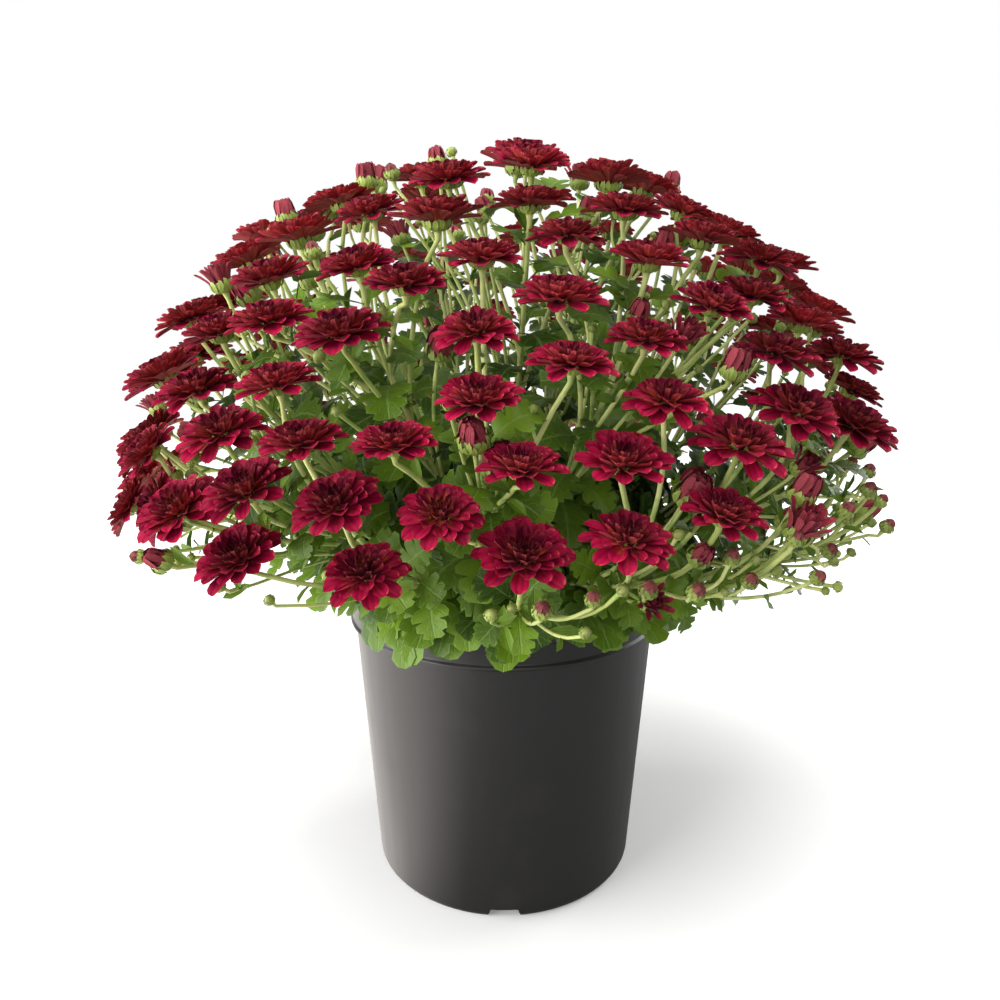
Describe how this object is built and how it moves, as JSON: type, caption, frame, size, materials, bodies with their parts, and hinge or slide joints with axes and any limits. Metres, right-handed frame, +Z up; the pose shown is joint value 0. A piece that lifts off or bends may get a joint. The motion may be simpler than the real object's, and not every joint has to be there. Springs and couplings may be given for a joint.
{
  "type": "pot chrysanthemum",
  "caption": "Garden chrysanthemum in full flower, a dome of dark red double blooms and buds on branching green stems, standing in a round black nursery pot.",
  "frame": {"origin": "on the surface that the pot stands on, under the middle of the plant and on the pot's axis", "axes": "+Z up; -Y towards the viewer, the side with the pot's front drain slot; +X to the viewer's right"},
  "size_m": [0.397, 0.3897, 0.3842],
  "materials": {
    "pot": "satin",
    "potting_mix": "rough",
    "plant": "soft"
  },
  "bodies": {
    "root": {"pot": "pot", "potting_mix": "potting_mix", "spray_01": "plant", "spray_02": "plant", "spray_03": "plant", "spray_04": "plant", "spray_05": "plant", "spray_06": "plant", "spray_07": "plant", "spray_08": "plant", "spray_09": "plant", "spray_10": "plant", "spray_11": "plant", "spray_12": "plant", "spray_13": "plant", "spray_14": "plant", "spray_15": "plant", "spray_16": "plant", "spray_17": "plant", "spray_18": "plant", "spray_19": "plant", "spray_20": "plant", "spray_21": "plant", "spray_22": "plant", "spray_23": "plant", "spray_24": "plant", "spray_25": "plant", "spray_26": "plant", "spray_27": "plant", "spray_28": "plant", "spray_29": "plant", "spray_30": "plant", "spray_31": "plant", "spray_32": "plant", "spray_33": "plant", "spray_34": "plant", "spray_35": "plant", "spray_36": "plant", "spray_37": "plant", "spray_38": "plant"}
  },
  "joints": []
}
